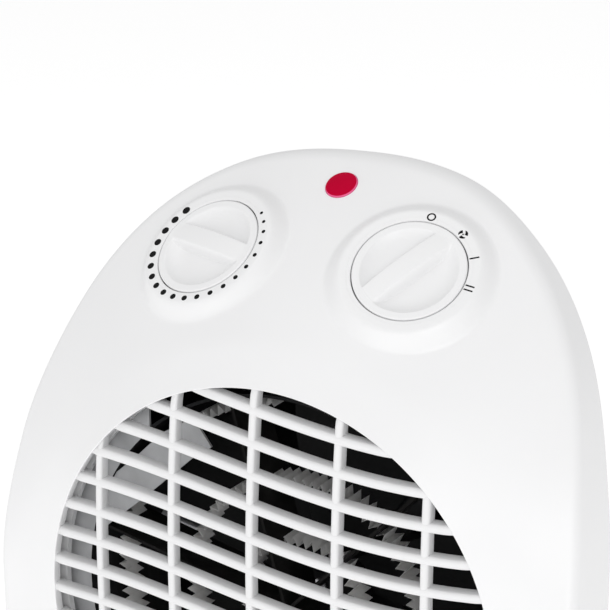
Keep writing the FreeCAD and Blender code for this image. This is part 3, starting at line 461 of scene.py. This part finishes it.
# knob cups, with a rounded lip that is flush with the boss face
for nm, fr in (("thermostat_cup", FR_L), ("selector_cup", FR_R)):
    pr = [(19.38, 0.0)]
    for q in range(0, 7):
        b = math.pi / 2 * q / 6
        pr.append((18.45 - 0.4 * math.sin(b), -0.4 + 0.4 * math.cos(b)))
    pr += [(18.05, -2.0), (18.05, -4.0), (18.05, -5.6), (17.85, -5.8), (6.0, -5.8), (6.0, -7.2), (19.38, -7.2)]
    v, f = revolve(pr, fr, 192)
    c = make(nm, v, f, M["white"])
    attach(c, "housing")

# ------------------------------------------------------------------ grille
LP, LF, LT, LD = 9.916, 69.40, 2.8, 5.0
WAVE_A, WAVE_K, DOME = 8.06, 0.02356, 6.9
VX, VW, VD = 28.44, 2.6, 4.7
VSHIFT = (-0.95, -0.95, -0.95, -0.5, -0.5)
RT = R_OPEN + 0.5


def dome_y(x, z):
    return -DOME * (1 - min(1.0, (x * x + z * z) / (R_OPEN * R_OPEN)))


def wave(x):
    return -WAVE_A * math.sin(max(-math.pi / 2, min(math.pi / 2, WAVE_K * x)))


def section(w, d, rf=1.1, rb=0.5):
    """rounded section, across w and deep d, front at 0"""
    h = w / 2
    pts = []
    for cx, cy, r, a0 in ((-h + rf, rf, rf, 180), (h - rf, rf, rf, 270), (h - rb, d - rb, rb, 0), (-h + rb, d - rb, rb, 90)):
        for k in range(6):
            b = math.radians(a0 + 90 * k / 5)
            pts.append((cx + r * math.cos(b), cy + r * math.sin(b)))
    return pts


def ends(fn, lim):
    """where a line through fn(t) leaves the opening circle, both ways from its nearest point to the axis"""
    ts_ = np.linspace(-90, 90, 721)
    rr = [math.hypot(*fn(t)) for t in ts_]
    i = int(np.argmin(rr))
    if rr[i] > lim:
        return None
    res = []
    for sg in (-1, 1):
        lo, hi = ts_[i], ts_[i] + sg * 90
        for _ in range(40):
            mid = (lo + hi) / 2
            if math.hypot(*fn(mid)) < lim:
                lo = mid
            else:
                hi = mid
        res.append(lo)
    return res


def bar(kind, base, w, d, n=150, drop=0.0):
    sec = section(w, d)
    cols = []
    for off, dep in sec:
        if kind == "l":
            fn = lambda t, o=off: (t, base + o + wave(t))
        else:
            fn = lambda t, o=off: (base + o, t)
        e = ends(fn, RT)
        if e is None:
            return None
        c = []
        for k in range(n + 1):
            q = k / n
            t = e[0] + (e[1] - e[0]) * q
            x, z = fn(t)
            r = math.hypot(x, z)
            fl = 0.9 * max(0.0, (r - (R_OPEN - 3.0)) / 3.5) ** 2
            c.append((x, dome_y(x, z) + drop + dep + fl, z))
        cols.append(c)
    ns = len(sec)
    V = [cols[j][k] for k in range(n + 1) for j in range(ns)]
    F = loop_faces(n + 1, ns, close_u=False)
    F += [tuple(range(ns))[::-1], tuple(range(n * ns, (n + 1) * ns))]
    return V, F


parts = []
for k in range(0, 17):
    b = bar("l", LF + LT / 2 - k * LP, LT, LD)
    if b:
        parts.append(b)
for i in range(-2, 3):
    b = bar("v", i * VX + VSHIFT[i + 2], VW, VD - 0.3, drop=0.22)
    if b:
        parts.append(b)
grille_ring = [(R_OPEN - 0.2, 7.2), (R_OPEN + 4.4, 7.2), (R_OPEN + 4.5, 7.3), (R_OPEN + 4.5, 9.4), (R_OPEN + 4.4, 9.5), (R_OPEN - 0.2, 9.5)]
parts.append(revolve(grille_ring, AX_Y, 240))
v, f = merge(parts)
grille = make("front_grille_v", v, f, M["white_grille"], sharp=40)
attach(grille, "housing")
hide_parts("front_grille")

# ------------------------------------------------------------------ knobs
RIM_H = 0.27
K_OUT = 17.72
K_EDGE = K_OUT - 0.5


def smax(a, b, k):
    h = max(k - abs(a - b), 0.0) / k
    return max(a, b) + h * h * k * 0.25


def soft(u, w):
    """max(0, u) with the kink rounded over 2 w"""
    return 0.0 if u <= -w else (u if u >= w else (u + w) ** 2 / (4 * w))


def knob_height(x, y):
    rho = math.hypot(x, y)
    R0 = 15.35
    bowl = RIM_H - 2.6 * (1 - min(1.0, rho / R0) ** 5.5)
    bowl = -smax(-bowl, -RIM_H, 0.35) if rho > R0 - 1.5 else bowl
    top = RIM_H + 1.0 * (1 - min(1.0, (x / 15.3) ** 2))
    yy = y - 1.1
    if yy > 0:
        ridge, k = top - 5.0 * soft(yy - 4.0, 0.25), 0.35
    else:
        ridge, k = top - 3.0 * soft(-yy - 2.9, 0.7), 0.6
    fade = min(1.0, max(0.0, (R0 + 0.4 - rho) / 2.0))
    crown = -0.22 * (yy / 4.1) ** 2
    h = smax(bowl, ridge + crown, 0.35 + k * fade)
    if rho > R0:
        h = min(h, RIM_H + 0.02)
    if rho > K_EDGE:
        h -= 0.5 - math.sqrt(max(0.0, 0.25 - (rho - K_EDGE) ** 2))
    return h


def knob_mesh(fr, ang):
    ca, sa = math.cos(math.radians(ang)), math.sin(math.radians(ang))
    rr = list(np.arange(0.15, K_EDGE, 0.15)) + [K_EDGE + 0.5 * math.sin(math.pi / 2 * k / 7) for k in range(8)]
    seg = 288
    V = [tuple(loc(fr, 0, 0, knob_height(0, 0)))]
    for rho in rr:
        for k in range(seg):
            b = 2 * math.pi * k / seg
            x, y = rho * math.cos(b), rho * math.sin(b)
            V.append(tuple(loc(fr, x * ca - y * sa, x * sa + y * ca, knob_height(x, y))))
    nr = len(rr)
    for h, r in ((-1.5, K_OUT), (-3.2, K_OUT), (-4.8, K_OUT), (-5.0, K_OUT - 0.2), (-5.0, 6.0)):
        for k in range(seg):
            b = 2 * math.pi * k / seg
            V.append(tuple(loc(fr, r * math.cos(b + math.radians(ang)), r * math.sin(b + math.radians(ang)), h)))
    V.append(tuple(loc(fr, 0, 0, -5.0)))
    F = [(0, 1 + k, 1 + (k + 1) % seg) for k in range(seg)]
    for i in range(nr + 4):
        for k in range(seg):
            a_ = 1 + i * seg + k
            b_ = 1 + i * seg + (k + 1) % seg
            F.append((a_, a_ + seg, b_ + seg, b_))
    last = 1 + (nr + 4) * seg
    F += [(last + k, len(V) - 1, last + (k + 1) % seg) for k in range(seg)]
    return V, F


for nm, fr, ang, body, node in (("thermostat_knob_v", FR_L, -6.0, "thermostat_dial", "thermostat_knob"),
                                ("selector_knob_v", FR_R, 47.4, "selector_dial", "selector_knob")):
    v, f = knob_mesh(fr, ang)
    k = make(nm, v, f, M["knob"], sharp=60)
    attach(k, body)
    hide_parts(node)

# ------------------------------------------------------------------ printed marks
H0, H1 = -0.04, 0.03


def prism(fr, outline):
    n = len(outline)
    v = [tuple(loc(fr, a, b, H0)) for a, b in outline] + [tuple(loc(fr, a, b, H1)) for a, b in outline]
    f = [tuple(range(n))[::-1], tuple(range(n, 2 * n))] + [(k, (k + 1) % n, n + (k + 1) % n, n + k) for k in range(n)]
    return v, f


def disc(fr, a, b, r, seg=28):
    return prism(fr, [(a + r * math.cos(2 * math.pi * k / seg), b + r * math.sin(2 * math.pi * k / seg)) for k in range(seg)])


dots = []
for i in range(21):
    a_ = 147.06 + 13.363 * i
    if i > 17:
        a_ -= (0.9, 2.4, 4.1)[i - 18]
    t = math.radians(a_)
    rd = 20.1 + 0.35 * math.exp(-((a_ - 215.0) / 45.0) ** 2)
    dots.append(disc(FR_L, rd * math.cos(t), rd * math.sin(t), 1.38 + (0.56 - 1.38) * i / 20))
v, f = merge(dots)
mk = make("thermostat_dots", v, f, M["ink"])
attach(mk, "housing")
sel = []
RM = 19.94


def polar(deg, dr, dt):
    t = math.radians(deg)
    return (RM + dr) * math.cos(t) - dt * math.sin(t), (RM + dr) * math.sin(t) + dt * math.cos(t)


ca, cb = polar(79.4, 0, 0)
ringv, ringf = [], []
for k in range(48):
    b = 2 * math.pi * k / 48
    for r, h in ((1.45, H0), (1.45, H1), (0.95, H1), (0.95, H0)):
        ringv.append(tuple(loc(FR_R, ca + r * math.cos(b), cb + r * math.sin(b), h)))
sel.append((ringv, loop_faces(48, 4)))
fa, fb = polar(43.9, 0, 0)
for k in range(3):
    o = []
    for q in range(15):
        t = math.radians(120 * k + 102 + 84 * q / 14)
        o.append((fa + 1.55 * math.cos(t), fb + 1.55 * math.sin(t)))
    for q in range(14, -1, -1):
        t = math.radians(120 * k + 102 + 84 * q / 14)
        r = 0.50 + 0.80 * (q / 14) ** 2.2
        o.append((fa + r * math.cos(t), fb + r * math.sin(t)))
    sel.append(prism(FR_R, o))
sel.append(disc(FR_R, fa, fb, 0.27, 16))
sel.append(prism(FR_R, [polar(16.1, -1.5, -.25), polar(16.1, 1.5, -.25), polar(16.1, 1.5, .25), polar(16.1, -1.5, .25)]))
for s_ in (-0.75, 0.75):
    sel.append(prism(FR_R, [polar(-15.5, -1.45, s_ - .25), polar(-15.5, 1.45, s_ - .25), polar(-15.5, 1.45, s_ + .25), polar(-15.5, -1.45, s_ + .25)]))
v, f = merge(sel)
mk = make("selector_marks", v, f, M["ink"])
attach(mk, "housing")

# ------------------------------------------------------------------ lamp lens
pr = [(0.0, 0.95)] + [(LENS_R * k / 12, 0.95 - 0.7 * (k / 12) ** 2) for k in range(1, 11)] + [(5.05, 0.32), (5.25, 0.12), (LENS_R, -0.15), (LENS_R, -4.0), (0.0, -4.0)]
v, f = revolve(pr, FR_T, 96)
ln = make("indicator_lens_v", v, f, M["red"], sharp=50)
# the rim faces of the lens get the lighter pink: a painted highlight for the bright edge reflection
ln.data.materials.append(M["red_rim"])
for p in ln.data.polygons:
    q = np.array(p.center) * 1000 - np.array([LENS[0], LENS[1] - YM, LENS[2] + ZM])
    h = float(q @ np.array(FR_T[2]))
    if math.sqrt(max(0.0, float(q @ q) - h * h)) > 5.02 and h > -1.0:
        p.material_index = 1
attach(ln, "housing")
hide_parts("indicator_lens")

# ------------------------------------------------------------------ heating ribbon: corrugated bands
parts = []
for r0, a0, a1 in ((20.0, 0.0, 360.0), (40.0, 0.0, 360.0), (66.0, 96.4, 381.6)):
    closed = a1 - a0 == 360.0
    n = int(math.radians(a1 - a0) * r0 / 3.1)
    loopv = []
    pts = []
    for k in range(n * 4 + (0 if closed else 1)):
        ph = (k % 4) / 4.0
        tri = (1 - 4 * abs(ph - 0.5)) * 1.6
        t = math.radians(a0 + (a1 - a0) * k / (n * 4))
        pts.append(((r0 + tri) * math.cos(t), (r0 + tri) * math.sin(t), t))
    for x, z, t in pts:
        for dr, y in ((-0.05, 23.5), (0.05, 23.5), (0.05, 33.0), (-0.05, 33.0)):
            loopv.append((x + dr * math.cos(t), y, z + dr * math.sin(t)))
    fs = loop_faces(len(pts), 4, close_u=closed)
    if not closed:
        e = 4 * (len(pts) - 1)
        fs += [(3, 2, 1, 0), (e, e + 1, e + 2, e + 3)]
    parts.append((loopv, fs))
v, f = merge(parts)
rb = make("heating_ribbon_v", v, f, M["nichrome"], sharp=20)
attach(rb, "housing")
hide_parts("heating_ribbon")

# ------------------------------------------------------------------ floor, lights, camera
me = bpy.data.meshes.new("floor")
me.from_pydata([(-12, -6, 0), (12, -6, 0), (12, 14, 0), (-12, 14, 0)], [], [(0, 1, 2, 3)])
fl = bpy.data.objects.new("floor", me)
bpy.context.scene.collection.objects.link(fl)
fm = plastic("floor_white", (0.93, 0.93, 0.93), 0.9, bump=0.0, vary=0.0, emit=0.376)
me.materials.append(fm)


def area(name, pos, target, size, power, col=(1, 1, 1)):
    d = bpy.data.lights.new(name, "AREA")
    d.shape, d.size, d.energy, d.color = "DISK", size, power, col
    o = bpy.data.objects.new(name, d)
    bpy.context.scene.collection.objects.link(o)
    o.location = pos
    o.rotation_euler = (Vector(target) - Vector(pos)).to_track_quat("-Z", "Y").to_euler()


area("key", (1.1, -1.5, 0.75), (0, 0, 0.13), 1.1, 7.02)
area("top", (-0.3, -0.3, 1.7), (0, 0, 0.13), 1.4, 3.68)
area("front", (-0.2, -1.9, 0.45), (0, 0, 0.13), 1.2, 3.67)
w = bpy.data.worlds.new("studio")
w.use_nodes = True
w.node_tree.nodes["Background"].inputs["Color"].default_value = (1, 1, 1, 1)
w.node_tree.nodes["Background"].inputs["Strength"].default_value = 0.641
bpy.context.scene.world = w
bpy.context.scene.view_settings.view_transform = "Standard"

cd = bpy.data.cameras.new("cam")
cd.sensor_width, cd.lens, cd.clip_start, cd.clip_end = 36.0, 140.17, 0.02, 60.0
cam = bpy.data.objects.new("cam", cd)
bpy.context.scene.collection.objects.link(cam)
Rv, Uv, Cv = (0.87730747, 0.47943735, -0.02171236), (-0.11568032, 0.25515349, 0.9599556), (0.46577855, -0.83966453, 0.27930954)
cam.matrix_world = Matrix(((Rv[0], Uv[0], Cv[0], 0.341561), (Rv[1], Uv[1], Cv[1], -0.633396), (Rv[2], Uv[2], Cv[2], 0.408467), (0, 0, 0, 1)))
bpy.context.scene.camera = cam
